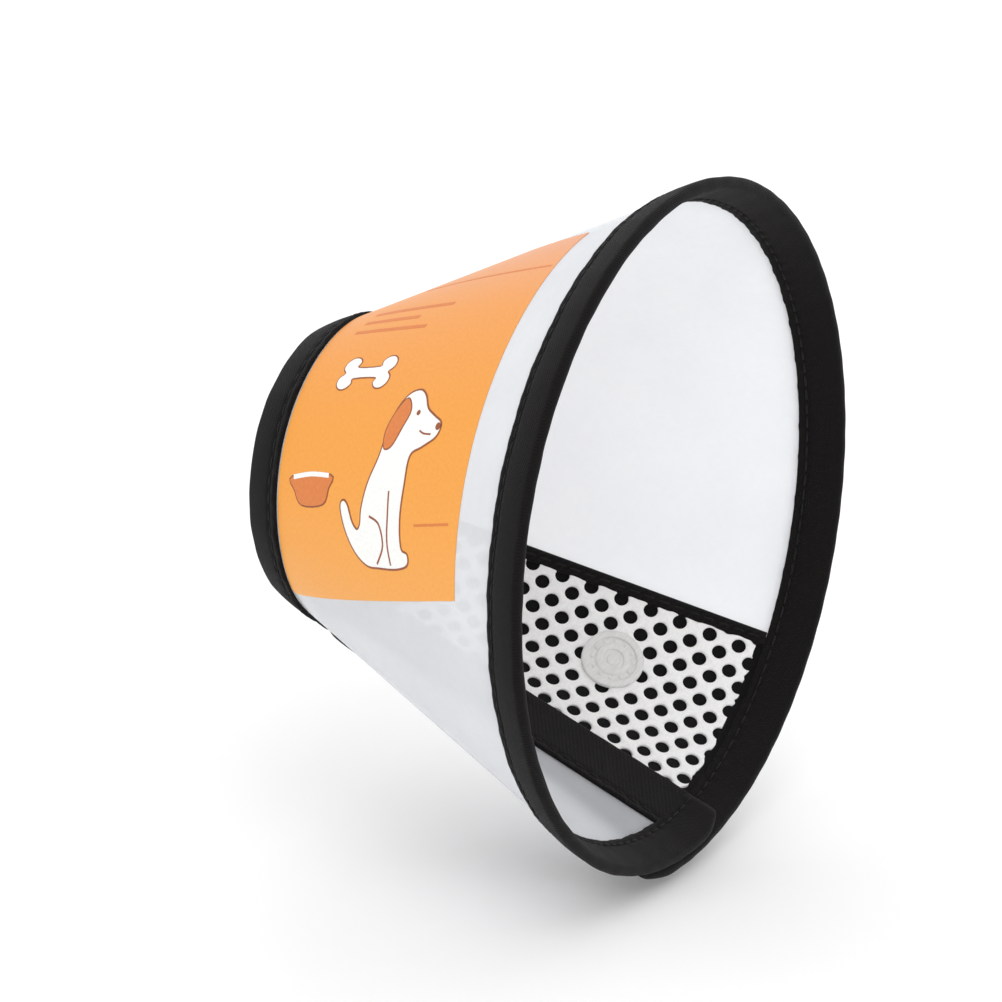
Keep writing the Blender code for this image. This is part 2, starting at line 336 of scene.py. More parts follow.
def emit(name, layer, materials, prefixes=(), *, uv, sharp=40.0, whole=False):
    """Cuts a layer at the panels' middle rulings and stands the bent parts for CAD nodes."""
    outward(layer)
    turns = np.array(layer.verts, float)[:, 0]
    cuts = [-math.inf, *MIDS, math.inf]
    if whole:
        face_turns = shell_turns(layer, turns)
    else:
        lowest = np.array([turns[list(face)].min() for face in layer.faces])
        highest = np.array([turns[list(face)].max() for face in layer.faces])
    first_part = True
    for k, (start, end) in enumerate(zip(cuts, cuts[1:])):
        if whole:
            inside = (face_turns >= start) & (face_turns < end)
        else:
            inside = (highest > start + 1e-6) & (lowest < end - 1e-6)
        picked = np.nonzero(inside)[0]
        if not len(picked):
            continue
        bm = cut_part(layer, picked, (start, end), whole)
        if not bm.faces:
            bm.free()
            continue
        # sheet coordinates are left-handed, so the bend turns the faces over
        bmesh.ops.reverse_faces(bm, faces=bm.faces)
        coords = np.array([v.co[:] for v in bm.verts], float)
        bend(bm, coords, uv, sharp)
        mesh = bpy.data.meshes.new(f"{name}_{k:02d}")
        bm.to_mesh(mesh)
        bm.free()
        for material in materials:
            mesh.materials.append(material)
        obj = bpy.data.objects.new(f"{name}_{k:02d}", mesh)
        scene.collection.objects.link(obj)
        own = attach(obj, k)
        for body in own:
            nodes = [n for n in body_nodes.get(body, [])
                     if n not in taken and n.startswith(prefixes)]
            if nodes and (body == own[0] or k == 1 or first_part):
                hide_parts(*nodes)
                taken.update(nodes)
        first_part = False


# ---- UV maps, in mm
def fan_uv(turn, reach, rise):
    """The sheet unrolled flat."""
    angle = np.radians(turn * SIN)
    return reach * np.cos(angle), reach * np.sin(angle)


def patch_uv(turn, reach, rise):
    return arc(turn, reach), reach


def backing_uv(turn, reach, rise):
    return arc(turn, 100.0), reach


def stitch_uv(turn, reach, rise):
    return np.radians(turn) * 60.0, reach


def round_uv(edge):
    """Along a tape that runs round the collar at one reach."""
    return lambda turn, reach, rise: (arc(turn, edge), reach + rise)


def ruling_uv(start=0.0):
    """Along a tape that runs down a ruling."""
    return lambda turn, reach, rise: (reach, arc(turn - start, reach) + rise)


def label_uv(turn, reach, rise):
    """The film laid flat, with its own ruling as the first axis."""
    angle = np.radians((turn - LABEL_TURN) * SIN)
    return reach * np.cos(angle), reach * np.sin(angle)


# ---- shader helpers
def new_material(name):
    """An empty material, its node tree and its surface socket."""
    material = bpy.data.materials.new(name)
    material.use_nodes = True
    tree = material.node_tree
    tree.nodes.clear()
    output = tree.nodes.new("ShaderNodeOutputMaterial")
    return material, tree, output.inputs["Surface"]


def put(tree, value, socket):
    """Links a socket, or sets a plain value."""
    if isinstance(value, bpy.types.NodeSocket):
        tree.links.new(value, socket)
    else:
        socket.default_value = value


def node(tree, kind, **inputs):
    made = tree.nodes.new(kind)
    for key, value in inputs.items():
        put(tree, value, made.inputs[key.replace("_", " ")])
    return made


def math_node(tree, operation, first, second=0.0):
    made = tree.nodes.new("ShaderNodeMath")
    made.operation = operation
    put(tree, first, made.inputs[0])
    put(tree, second, made.inputs[1])
    return made.outputs[0]


def scaled(tree, value, factor):
    return math_node(tree, "MULTIPLY", value, factor)


def added(tree, first, second):
    return math_node(tree, "ADD", first, second)


def mix_shaders(tree, share, first, second):
    made = node(tree, "ShaderNodeMixShader", Fac=share)
    tree.links.new(first.outputs[0], made.inputs[1])
    tree.links.new(second.outputs[0], made.inputs[2])
    return made


def ramp(tree, value, stops):
    """A colour ramp. stops: (position, (red, green, blue))."""
    made = tree.nodes.new("ShaderNodeValToRGB")
    tree.links.new(value, made.inputs["Fac"])
    elements = made.color_ramp.elements
    while len(elements) < len(stops):
        elements.new(0.5)
    for element, (position, colour) in zip(elements, stops):
        element.position = position
        element.color = (*colour, 1.0)
    return made.outputs["Color"]


def noise(tree, uv, scale, detail, rough):
    return node(tree, "ShaderNodeTexNoise", Scale=scale, Detail=detail, Roughness=rough,
                Vector=uv).outputs["Fac"]


def uv_mm(tree):
    made = tree.nodes.new("ShaderNodeUVMap")
    made.uv_map = "mm"
    return made.outputs["UV"]


def bump(tree, height, strength, distance):
    return node(tree, "ShaderNodeBump", Height=height, Strength=strength,
                Distance=distance).outputs["Normal"]


# ---- materials
def frosted():
    """Cloudy sheet that lets light through. Back faces are clear, so each wall shades once."""
    material, tree, surface = new_material("frosted_sheet_look")
    uv = uv_mm(tree)
    cloudy = noise(tree, uv, scale=0.06, detail=3.0, rough=0.55)
    grain = noise(tree, uv, scale=3.2, detail=6.0, rough=0.6)
    scuffs = noise(tree, uv, scale=0.55, detail=8.0, rough=0.75)
    tint = ramp(tree, cloudy, [(0.30, (0.740, 0.762, 0.806)), (0.70, (0.822, 0.836, 0.862))])
    normal = bump(tree, grain, strength=0.10, distance=0.0001)
    diffuse = node(tree, "ShaderNodeBsdfDiffuse", Color=tint, Roughness=0.2, Normal=normal)
    through = node(tree, "ShaderNodeBsdfTranslucent", Color=(0.87, 0.875, 0.89, 1.0),
                   Normal=normal)
    body = mix_shaders(tree, 0.50, diffuse, through)
    clear = node(tree, "ShaderNodeBsdfTransparent", Color=(0.96, 0.965, 0.98, 1.0))
    clear_share = added(tree, scaled(tree, scuffs, 0.09), 0.055)
    mixed = mix_shaders(tree, clear_share, body, clear)
    gloss = node(tree, "ShaderNodeBsdfGlossy", Color=(0.85, 0.87, 0.90, 1.0), Roughness=0.24,
                 Normal=normal)
    facing = node(tree, "ShaderNodeFresnel", IOR=1.45, Normal=normal)
    shiny = mix_shaders(tree, scaled(tree, facing.outputs[0], 0.8), mixed, gloss)
    unseen = node(tree, "ShaderNodeBsdfTransparent", Color=(1.0, 1.0, 1.0, 1.0))
    geometry = tree.nodes.new("ShaderNodeNewGeometry")
    final = mix_shaders(tree, geometry.outputs["Backfacing"], shiny, unseen)
    tree.links.new(final.outputs[0], surface)
    return material


def fabric(name, dark, light, pitch, hatch=False):
    """Woven tape: a ribbed weave in the tape's own mm, with fuzz. hatch slants the weave."""
    material, tree, surface = new_material(name)
    uv = uv_mm(tree)
    xyz = node(tree, "ShaderNodeSeparateXYZ", Vector=uv)
    wobble = scaled(tree, noise(tree, uv, scale=1.2, detail=3.0, rough=0.5), 1.6)
    along = added(tree, scaled(tree, xyz.outputs[0], 2 * math.pi / pitch), wobble)
    across = added(tree, scaled(tree, xyz.outputs[1], 2 * math.pi / (pitch * 0.8)), wobble)
    if hatch:
        along = added(tree, along, scaled(tree, across, 0.5))
    weave = scaled(tree, math_node(tree, "SINE", along), math_node(tree, "SINE", across))
    fuzz = noise(tree, uv, scale=6.0, detail=6.0, rough=0.7)
    height = added(tree, scaled(tree, weave, 0.5), scaled(tree, fuzz, 0.7))
    tone = added(tree, scaled(tree, weave, 0.16), fuzz)
    shader = node(tree, "ShaderNodeBsdfPrincipled",
                  Base_Color=ramp(tree, tone, [(0.25, dark), (0.80, light)]),
                  Roughness=0.85, Sheen_Weight=0.07, Sheen_Roughness=0.45,
                  Sheen_Tint=(0.8, 0.8, 0.85, 1.0), Specular_IOR_Level=0.10,
                  Normal=bump(tree, height, strength=0.75, distance=0.00012))
    tree.links.new(shader.outputs[0], surface)
    return material


def plain(name, dark, light, rough, scale, strength, sheen=0.0, depth=0.0001, specular=0.4):
    """Mottled between two colours, with fine bumps. scale is the mottling's, per mm."""
    material, tree, surface = new_material(name)
    uv = uv_mm(tree)
    mottling = noise(tree, uv, scale=scale, detail=6.0, rough=0.6)
    colour = ramp(tree, mottling, [(0.30, dark), (0.72, light)])
    fine = noise(tree, uv, scale=scale * 5.0, detail=3.0, rough=0.5)
    shader = node(tree, "ShaderNodeBsdfPrincipled", Base_Color=colour,
                  Roughness=added(tree, scaled(tree, mottling, 0.12), rough - 0.06),
                  Sheen_Weight=sheen, Specular_IOR_Level=specular,
                  Normal=bump(tree, fine, strength=strength, distance=depth))
    tree.links.new(shader.outputs[0], surface)
    return material


def label_film():
    """Warm orange, changing from edge to edge across the film, with faint mottling. The pinkish
    tone towards its upper edge is a painted reflection of light.
    """
    material, tree, surface = new_material("label_film_look")
    uv = uv_mm(tree)
    xyz = node(tree, "ShaderNodeSeparateXYZ", Vector=uv)
    up = math_node(tree, "DIVIDE", added(tree, xyz.outputs[1], BELOW), BELOW + ABOVE)
    # printed orange gradient up the film; the last, pinkish stop at the upper edge is a painted
    # reflection
    colour = ramp(tree, up, [(0.0, (0.87, 0.370, 0.062)), (0.40, (0.85, 0.335, 0.040)),
                             (0.72, (0.82, 0.325, 0.070)), (1.0, (0.77, 0.34, 0.17))])
    mottling = noise(tree, uv, scale=1.4, detail=5.0, rough=0.6)
    soft = tree.nodes.new("ShaderNodeMix")
    soft.data_type = "RGBA"
    soft.blend_type = "MULTIPLY"
    soft.inputs["Factor"].default_value = 0.5
    tree.links.new(colour, soft.inputs["A"])
    shade = ramp(tree, mottling, [(0.30, (0.86, 0.86, 0.86)), (0.62, (1.0, 1.0, 1.0))])
    tree.links.new(shade, soft.inputs["B"])
    grain = noise(tree, uv, scale=5.0, detail=4.0, rough=0.5)
    shader = node(tree, "ShaderNodeBsdfPrincipled", Base_Color=soft.outputs["Result"],
                  Roughness=0.42, Specular_IOR_Level=0.35,
                  Normal=bump(tree, grain, strength=0.12, distance=0.0001))
    tree.links.new(shader.outputs[0], surface)
    return material


SHEET = frosted()
BLACK = fabric("black_tape_look", dark=(0.0030, 0.0026, 0.0026), light=(0.0125, 0.0108, 0.0105),
               pitch=0.62)
BAND = fabric("black_band_look", dark=(0.0030, 0.0027, 0.0028), light=(0.0140, 0.0125, 0.0125),
              pitch=0.9, hatch=True)
THREAD = plain("thread_look", dark=(0.005, 0.005, 0.005), light=(0.018, 0.017, 0.018),
               rough=0.7, scale=4.0, strength=0.6, sheen=0.06, specular=0.15)
MESH = plain("loop_mesh_look", dark=(0.82, 0.82, 0.815), light=(0.93, 0.93, 0.925),
             rough=0.9, scale=1.6, strength=0.6, sheen=0.3, depth=0.0002)
BACKING = plain("loop_backing_look", dark=(0.002, 0.002, 0.002), light=(0.009, 0.008, 0.009),
                rough=0.9, scale=2.2, strength=0.8, sheen=0.05, depth=0.0003, specular=0.1)
HOOK = plain("hook_tape_look", dark=(0.006, 0.006, 0.006), light=(0.022, 0.021, 0.022),
             rough=0.55, scale=1.5, strength=0.4)
LABEL = label_film()
INK = plain("label_white_ink_look", dark=(0.83, 0.83, 0.81), light=(0.92, 0.92, 0.90),
            rough=0.45, scale=1.3, strength=0.15)
DARK_INK = plain("label_dark_ink_look", dark=(0.22, 0.05, 0.012), light=(0.33, 0.085, 0.02),
                 rough=0.45, scale=1.3, strength=0.15)
MID_INK = plain("label_mid_ink_look", dark=(0.62, 0.17, 0.03), light=(0.72, 0.21, 0.04),
                rough=0.45, scale=1.3, strength=0.15)
RUBBER = plain("badge_rubber_look", dark=(0.60, 0.60, 0.59), light=(0.74, 0.74, 0.73),
               rough=0.5, scale=0.9, strength=0.35)


# ---- the sheet
def sheet():
    across = np.linspace(R_IN, R_OUT, 16)
    section = [(reach, -SHEET_HALF) for reach in across] + [(R_OUT + 0.12, 0.0)]
    section += [(reach, SHEET_HALF) for reach in across[::-1]] + [(R_IN - 0.12, 0.0)]
    layer = Layer()
    layer.sweep([[(turn, *point) for point in section] for turn in np.linspace(0.0, LAST, 330)])
    return layer


# ---- the folded tapes
def tape_side(width, along):
    """(x, rise) over one face of a folded tape, from its cut edge to the fold.

    The seam pulls a slight valley, puckered at each stitch.
    """
    seat = width - SEAM_IN
    edge = width + 0.10 * math.sin(along * 0.83) + 0.07 * math.sin(along * 2.1 + 1.0)
    soft = 0.05 * math.sin(along * 0.31 + 0.4) + 0.03 * math.sin(along * 0.77)
    if width < 4:
        stations = np.linspace(width, 0.0, 9)
    else:
        stations = np.concatenate([np.linspace(width, width - 3.2, 9),
                                   np.linspace(width - 3.9, 0.0, 6)])
    points = []
    for i, x in enumerate(stations):
        crown = 0.16 * math.sin(math.pi * min(1.0, max(0.0, x / seat)))
        valley = 0.26 * math.exp(-((x - seat) / 0.50) ** 2)
        pucker = (0.075 * math.cos(2 * math.pi * along / STITCH_PITCH)
                  * math.exp(-((x - seat) / 1.1) ** 2))
        edge_drop = 0.14 if i == 0 else 0.0
        points.append((edge if i == 0 else x,
                       1.22 + soft + crown - valley - pucker - edge_drop))
    return points


def tape_profile(along, inside, outside):
    """(x, rise) round a folded tape. x runs in from the sheet's edge."""
    top, bottom = tape_side(outside, along), tape_side(inside, along)
    fold = []
    for angle in np.linspace(math.pi / 8, 7 * math.pi / 8, 7):
        height = (top if angle < math.pi / 2 else bottom)[-1][1]
        fold.append((-1.02 * math.sin(angle) + 0.03 * math.sin(along), height * math.cos(angle)))
    slot = [(x, -TAPE_GAP) for x in (inside + 0.05, inside * 0.6, inside * 0.25, -0.22)]
    slot += [(x, TAPE_GAP) for x in (-0.22, outside * 0.25, outside * 0.6, outside + 0.05)]
    return top + fold + [(x, -height) for x, height in reversed(bottom)] + slot


def round_tape(edge, way):
    """way is -1 where the tape reaches inward from the mouth edge, +1 from the neck edge."""
    overrun = deg(1.1, edge)
    start, end = -overrun, LAST + overrun
    count = int((end - start) / deg(TAPE_STEP, edge))
    mid = TAPE / 2
    columns = []
    for i in range(count + 1):
        turn = start + (end - start) * i / count
        from_end = min(i, count - i)
        squeeze = [0.30, 0.72, 0.93][from_end] if from_end < 3 else 1.0
        column = []
        for x, rise in tape_profile(math.radians(turn) * SIN * edge, TAPE, TAPE):
            # near the ends the outer skin is squeezed more than the slot
            thin = squeeze if abs(rise) > 0.5 else 0.25 + 0.75 * squeeze
            reach = edge + way * (mid + (x - mid) * (0.93 + 0.07 * squeeze))
            column.append((turn, reach, rise * thin))
        columns.append(column)
    layer = Layer()
    layer.sweep(columns)
    return layer


def end_tape(at, inside, outside, side):
    """A tape down a straight end, its ends running 0.9 mm over the round tapes."""
    start, end = R_IN + TAPE - 0.9, R_OUT - TAPE + 0.9
    count = int((end - start) / TAPE_STEP)
    columns = []
    for i in range(count + 1):
        reach = start + (end - start) * i / count
        thin = {0: 0.80, 1: 0.95}.get(min(i, count - i), 1.0)
        columns.append([(at + side * deg(x, reach), reach, rise * thin)
                        for x, rise in tape_profile(reach, inside, outside)])
    layer = Layer()
    layer.sweep(columns)
    return layer


# ---- loop pad on the inside of the outer flap: black backing, white net, edging
def edging(reach):
    """Turn of the edging's first side, slightly askew to the rulings."""
    return FIRST + deg(5.4 + 0.202 * (reach - LOW), reach)


def slab(left, right, low, high, columns, rows, near, far):
    """A thin slab between two side lines given as functions of reach. near, far: its rises."""
    rings = []
    for reach in np.linspace(low, high, rows):
        start, end = left(reach), right(reach)
        line = [start + (end - start) * k / columns for k in range(columns + 1)]
        rings.append([(turn, reach, far) for turn in line]
                     + [(turn, reach, near) for turn in reversed(line)])
    layer = Layer()
    layer.sweep(rings)
    return layer


def loop_backing():
    return slab(lambda reach: edging(reach) + deg(0.8, reach),
                lambda reach: LAST - deg(TAPE + 0.3, reach),
                LOW - 0.7, HIGH + 0.7, columns=70, rows=40, near=-0.76, far=-0.38)


def flat_to_sheet(u, v):
    return PAD_TURN + np.degrees(np.arctan2(v, u)) / SIN, np.hypot(u, v)


def sheet_to_flat(turn, reach):
    angle = np.radians((turn - PAD_TURN) * SIN)
    return np.array([reach * np.cos(angle), reach * np.sin(angle)])


def net_cells(bm, drop):
    """Diamond cells on the flat sheet, each with a round hole whose lip drops away."""
    shared = {}

    def vertex(u, v, depth):
        key = (round(u, 3), round(v, 3))
        if key not in shared:
            shared[key] = bm.verts.new((u, v, 0.0))
            shared[key][drop] = depth
        return shared[key]

    corners = [(HALF_U, 0.0), (0.0, HALF_V), (-HALF_U, 0.0), (0.0, -HALF_V)]
    outline = []
    for a, b in zip(corners, corners[1:] + corners[:1]):
        outline += [(a[0] + (b[0] - a[0]) * k / 4, a[1] + (b[1] - a[1]) * k / 4)
                    for k in range(4)]
    for j in range(-1, 40):
        for i in range(-12, 24):
            u = NET_START[0] + 2 * HALF_U * i + (0.0 if j % 2 else HALF_U)
            v = NET_START[1] + HALF_V * j
            turn, reach = flat_to_sheet(u, v)
            if not LOW - 1.0 < reach < NET_TOP + 1.3:
                continue
            if turn < edging(reach) - 6 or turn > LAST + 2:
                continue
            hole_u = u + 0.06 * math.sin(i * 2.3 + j * 1.7)
            hole_v = v + 0.06 * math.sin(i * 1.1 + j * 3.1)
            rings = [[vertex(u + x, v + y, 0.0) for x, y in outline]]
            for radius, depth in ((HOLE + 0.20, 0.03), (HOLE, 0.20)):
                rings.append([vertex(hole_u + radius * 1.03 * math.cos(k * math.pi / 8),
                                     hole_v + radius * math.sin(k * math.pi / 8), depth)
                              for k in range(16)])
            for near, far in zip(rings, rings[1:]):
                for k in range(16):
                    n = (k + 1) % 16
                    bm.faces.new((near[k], near[n], far[n], far[k]))


def trim_net(bm):
    """Cuts the net to the pad, with a ragged upper edge, and removes slivers."""
    high = NET_TOP + 0.5
    sides = ((lambda reach: edging(reach) + deg(2.3, reach), 1),
             (lambda reach: LAST - deg(TAPE + 0.7, reach), -1))
    for line, keep in sides:
        start, end = sheet_to_flat(line(LOW), LOW), sheet_to_flat(line(high), high)
        way = (end - start) / np.linalg.norm(end - start)
        normal = np.array([-way[1], way[0]]) * keep
        bisect(bm, (*start, 0), (*normal, 0), clear_inner=True)
    reaches = {v: math.hypot(v.co.x, v.co.y) for v in bm.verts}
    beyond = [face for face in bm.faces
              if min(reaches[v] for v in face.verts) > NET_TOP - 0.2
              or max(reaches[v] for v in face.verts) < LOW + 0.6]
    bmesh.ops.delete(bm, geom=beyond, context="FACES")
    for vert in bm.verts:
        reach = math.hypot(vert.co.x, vert.co.y)
        angle = math.atan2(vert.co.y, vert.co.x)
        ragged = 0.22 * math.sin(angle * 140.0) + 0.12 * math.sin(angle * 333.0)
        kept = min(max(reach, LOW + 0.5), NET_TOP + ragged)
        vert.co.x, vert.co.y = kept * math.cos(angle), kept * math.sin(angle)
    bmesh.ops.remove_doubles(bm, verts=bm.verts[:], dist=0.03)
    bmesh.ops.dissolve_degenerate(bm, edges=bm.edges[:], dist=0.02)
    thin = [face for face in bm.faces
            if face.calc_area() < 0.004 and any(e.is_boundary for e in face.edges)]
    bmesh.ops.delete(bm, geom=thin, context="FACES")
    while True:     # no vertex may join two borders, or the thickened net would pinch there
        pinched = [v for v in bm.verts if sum(e.is_boundary for e in v.link_edges) > 2]
        if not pinched:
            break
        smallest = min(pinched[0].link_faces, key=lambda face: face.calc_area())
        bmesh.ops.delete(bm, geom=[smallest], context="FACES")


def thicken(bm):
    """Extrudes all faces in place and returns the new vertices."""
    made = bmesh.ops.extrude_face_region(bm, geom=bm.faces[:], use_keep_orig=True)["geom"]
    return {v for v in made if isinstance(v, bmesh.types.BMVert)}


def loop_net():
    bm = bmesh.new()
    drop = bm.verts.layers.float.new("drop")
    net_cells(bm, drop)
    trim_net(bm)
    fresh = thicken(bm)
    bm.verts.index_update()
    verts = []
    for vert in bm.verts:
        thickness = 0.60 - vert[drop] if vert in fresh else 0.0
        verts.append((*flat_to_sheet(vert.co.x, vert.co.y), -(0.74 + thickness)))
    layer = Layer()
    layer.add(verts, [[v.index for v in face.verts] for face in bm.faces])
    bm.free()
    return layer


def loop_edging():
    """A soft strip over the net's first side, with a stitched groove down its middle."""
    columns = []
    for reach in np.linspace(LOW - 0.3, HIGH + 0.3, 95):
        width = 2.75 + 0.08 * math.sin(reach * 0.9) + 0.05 * math.sin(reach * 2.3)
        soft = (0.04 * math.sin(reach * 0.7)
                - 0.07 * math.cos(2 * math.pi * (reach - LOW) / STITCH_PITCH))
        shoulder = -1.52 - soft * 0.4
        profile = [(0.0, -0.42), (-0.12, -0.85), (0.10, -1.30),     # (x, rise)
                   (0.65, shoulder), (1.35, -1.38 - soft), (2.05, shoulder),
                   (width - 0.2, -1.42), (width, -1.0), (width - 0.1, -0.42)]
        start = edging(reach)
        columns.append([(start + deg(x, reach), reach, rise) for x, rise in profile])
    layer = Layer()
    layer.sweep(columns)
    return layer


# ---- stitches
# one thread dash: (place along it, thread radius, depth sunk into the fabric)
DASH = [(-1.22, 0.04, 0.30), (-1.0, 0.13, 0.10), (-0.55, 0.18, 0.0),
        (0.55, 0.18, 0.0), (1.0, 0.13, 0.10), (1.22, 0.04, 0.30)]


def stitch(layer, turn, reach, rise, round_way, size=1.0):
    """A dash lying round the collar or along a ruling."""
    face = 1.0 if rise > 0 else -1.0
    columns = []
    for along, radius, sink in DASH:
        ring = []
        for k in range(6):
            x = radius * size * math.cos(k * math.pi / 3)
            z = rise - face * sink + radius * size * math.sin(k * math.pi / 3)
            if round_way:
                ring.append((turn + deg(along, reach), reach + x, z))
            else:
                ring.append((turn + deg(x, reach), reach + along, z))
        columns.append(ring)
    layer.sweep(columns)


# seams down the straight ends: (turn of the end, mm from it, rise)
END_SEAMS = [
    (0.0, INNER_END - SEAM_IN, -SEAM_RISE),
    (0.0, INNER_OUTSIDE - SEAM_IN, SEAM_RISE),
    (0.0, INNER_OUTSIDE + 1.5, 0.90),
    (0.0, INNER_OUTSIDE + HOOK_WIDTH + 0.1, 0.90),
    (LAST, SEAM_IN - TAPE, -SEAM_RISE),
    (LAST, SEAM_IN - TAPE, SEAM_RISE),
]


def stitches():
    layer = Layer()
    for edge, row in ((R_OUT, R_OUT - TAPE + SEAM_IN), (R_IN, R_IN + TAPE - SEAM_IN)):
        for i in range(int(math.radians(LAST) * SIN * edge / STITCH_PITCH)):
            turn = deg(STITCH_PITCH * (i + 0.5), edge)
            for face in (1.0, -1.0):
                stitch(layer, turn, row, face * SEAM_RISE, True)
    for at, x, rise in END_SEAMS:
        for reach in marks(R_IN + TAPE + 1.6, R_OUT - TAPE - 1.4, STITCH_PITCH):
            stitch(layer, at + deg(x, reach), reach, rise, False)
    # down the pad's edging, then along its lower and upper borders
    for reach in marks(LOW + 1.5, HIGH - 1.2, STITCH_PITCH):
        turn = edging(reach) + deg(1.35, reach)
        stitch(layer, turn, reach, -1.42, False)
        stitch(layer, turn, reach, 0.40, False, 0.9)
    for row in (LOW + 0.9, HIGH - 0.9):
        start, end = edging(row) + deg(4.5, row), LAST - deg(TAPE + 2.0, row)
        for turn in marks(start, end, deg(STITCH_PITCH, row)):
            stitch(layer, turn, row, 0.40, True, 0.9)
    return layer


# ---- hook tape and badge
def stud(layer, turn, reach, sides, profile):
    """A small upright stud. profile: (radius, rise)."""
    angles = [2 * math.pi * k / sides for k in range(sides)]
    layer.sweep([[(turn + deg(radius * math.cos(angle), reach),
                   reach + radius * math.sin(angle), rise) for angle in angles]
                 for radius, rise in profile])


def hook_tape():
    """A base strip on the outside of the inner flap, set with rows of hooks."""
    layer = slab(lambda reach: deg(HOOK_START, reach),
                 lambda reach: deg(HOOK_START + HOOK_WIDTH, reach),
                 LOW, HIGH, columns=24, rows=40, near=0.40, far=0.86)
    profile = [(0.36 * share, rise)
               for share, rise in ((1.0, 0.82), (0.62, 1.05), (0.85, 1.22), (0.35, 1.30))]
    for reach in marks(LOW + 1.2, HIGH - 0.9, HOOK_PITCH):
        start = deg(INNER_OUTSIDE + 2.5, reach)
        stop = deg(INNER_OUTSIDE + HOOK_WIDTH - 0.4, reach)
        for turn in marks(start, stop, deg(HOOK_PITCH, reach)):
            stud(layer, turn, reach, 6, profile)
    return layer


# the badge's raised rings: (radius, height), from near the centre out and down to its base
BADGE_RINGS = [
    (1.0, 0.60), (1.25, 0.42), (2.0, 0.42), (2.25, 0.66), (2.5, 0.70),
    (3.0, 0.70), (3.2, 0.64), (3.45, 0.42), (4.45, 0.42), (4.7, 0.74),
    (5.0, 0.82), (5.6, 0.82), (5.85, 0.74), (6.0, 0.50), (6.0, 0.0),
]


def badge():
    """A round badge on the inside of the pad, with a ring of nubs in its outer groove."""
    count = 56
    verts = [(BADGE_TURN, BADGE_REACH, BADGE_RISE - 0.60), (BADGE_TURN, BADGE_REACH, BADGE_RISE)]
    for radius, height in BADGE_RINGS:
        for k in range(count):
            angle = 2 * math.pi * k / count
            reach = BADGE_REACH + radius * math.sin(angle)
            verts.append((BADGE_TURN + deg(radius * math.cos(angle), reach), reach,
                          BADGE_RISE - height))
    faces = []
    last = 2 + (len(BADGE_RINGS) - 1) * count
    for k in range(count):
        n = (k + 1) % count
        faces.append((0, 2 + k, 2 + n))
        for base in range(2, last, count):
            faces.append((base + k, base + count + k, base + count + n, base + n))
        faces.append((last + k, 1, last + n))
    layer = Layer()
    layer.add(verts, faces)
    nub = [(radius, BADGE_RISE - height)
           for radius, height in ((0.32, 0.40), (0.32, 0.58), (0.20, 0.64))]
    for k in range(12):
        angle = 2 * math.pi * (k + 0.5) / 12
        reach = BADGE_REACH + 3.95 * math.sin(angle)
        stud(layer, BADGE_TURN + deg(3.95 * math.cos(angle), reach), reach, 8, nub)
    return layer


# ---- printed film on the outside
def label_sheet(u, v):
    """A point of the flat film, as turn and reach."""
    return LABEL_TURN + math.degrees(math.atan2(v, u)) / SIN, math.hypot(u, v)


def film():
    """The film: two arcs, and two straight sides parallel to its own ruling."""
    def side_turn(offset, reach):
        return math.degrees(math.asin(offset / reach)) / SIN

    start, end = (LABEL_TURN + side_turn(v, LABEL_LOW + 1.5) for v in (-BELOW, ABOVE))
    corners = [LABEL_TURN + side_turn(v, LABEL_HIGH) for v in (-BELOW, ABOVE)]
    columns = []
    for turn in sorted([*np.linspace(start, end, 150), *corners]):
        slope = math.sin(math.radians((turn - LABEL_TURN) * SIN))
        side = (ABOVE if slope > 0 else BELOW) / max(abs(slope), 1e-6)
        line = np.linspace(LABEL_LOW, min(LABEL_HIGH, side), 14)
        columns.append([(turn, reach, 0.40) for reach in line]
                       + [(turn, reach, 0.52) for reach in line[::-1]])
    layer = Layer()
    layer.sweep(columns, caps=False)
    # the two ends are closed with strips of quads
    n = len(columns[0])
    last = (len(columns) - 1) * n
    for k in range(n // 2 - 1):
        layer.faces.append((n - 1 - k, n - 2 - k, k + 1, k))
    for k in range(n // 2 - 1):
        layer.faces.append((last + k, last + k + 1, last + n - 2 - k, last + n - 1 - k))
    layer.slots += [0] * (2 * (n // 2 - 1))
    return layer


# ---- the film's picture, in thin layers of ink
WHITE, DARK, MID = 0, 1, 2          # material numbers
FIRST_COAT = 0.505, 0.56            # (low, high) rise of an ink laid on the film


def smooth(points, closed=True, parts=5):
    """Catmull-Rom curve through the points."""
    curve, n = [], len(points)
    for i in range(n if closed else n - 1):
        near = [(i + k) % n if closed else min(max(i + k, 0), n - 1) for k in (-1, 0, 1, 2)]
        a, b, c, d = (np.array(points[k], float) for k in near)
        for j in range(parts):
            t = j / parts
            curve.append(0.5 * (2 * b + (c - a) * t + (2 * a - 5 * b + 4 * c - d) * t * t
                                + (3 * b - a - 3 * c + d) * t ** 3))
    return curve


def grown(outline, distance):
    """The outline moved out along its normals."""
    area = sum(a[0] * b[1] - b[0] * a[1] for a, b in zip(outline, outline[1:] + outline[:1]))
    sign = 1.0 if area > 0 else -1.0
    moved = []
    for i, point in enumerate(outline):
        way = outline[(i + 1) % len(outline)] - outline[i - 1]
        normal = np.array([way[1], -way[0]]) * sign / max(np.linalg.norm(way), 1e-9)
        moved.append(point + normal * distance)
    return moved


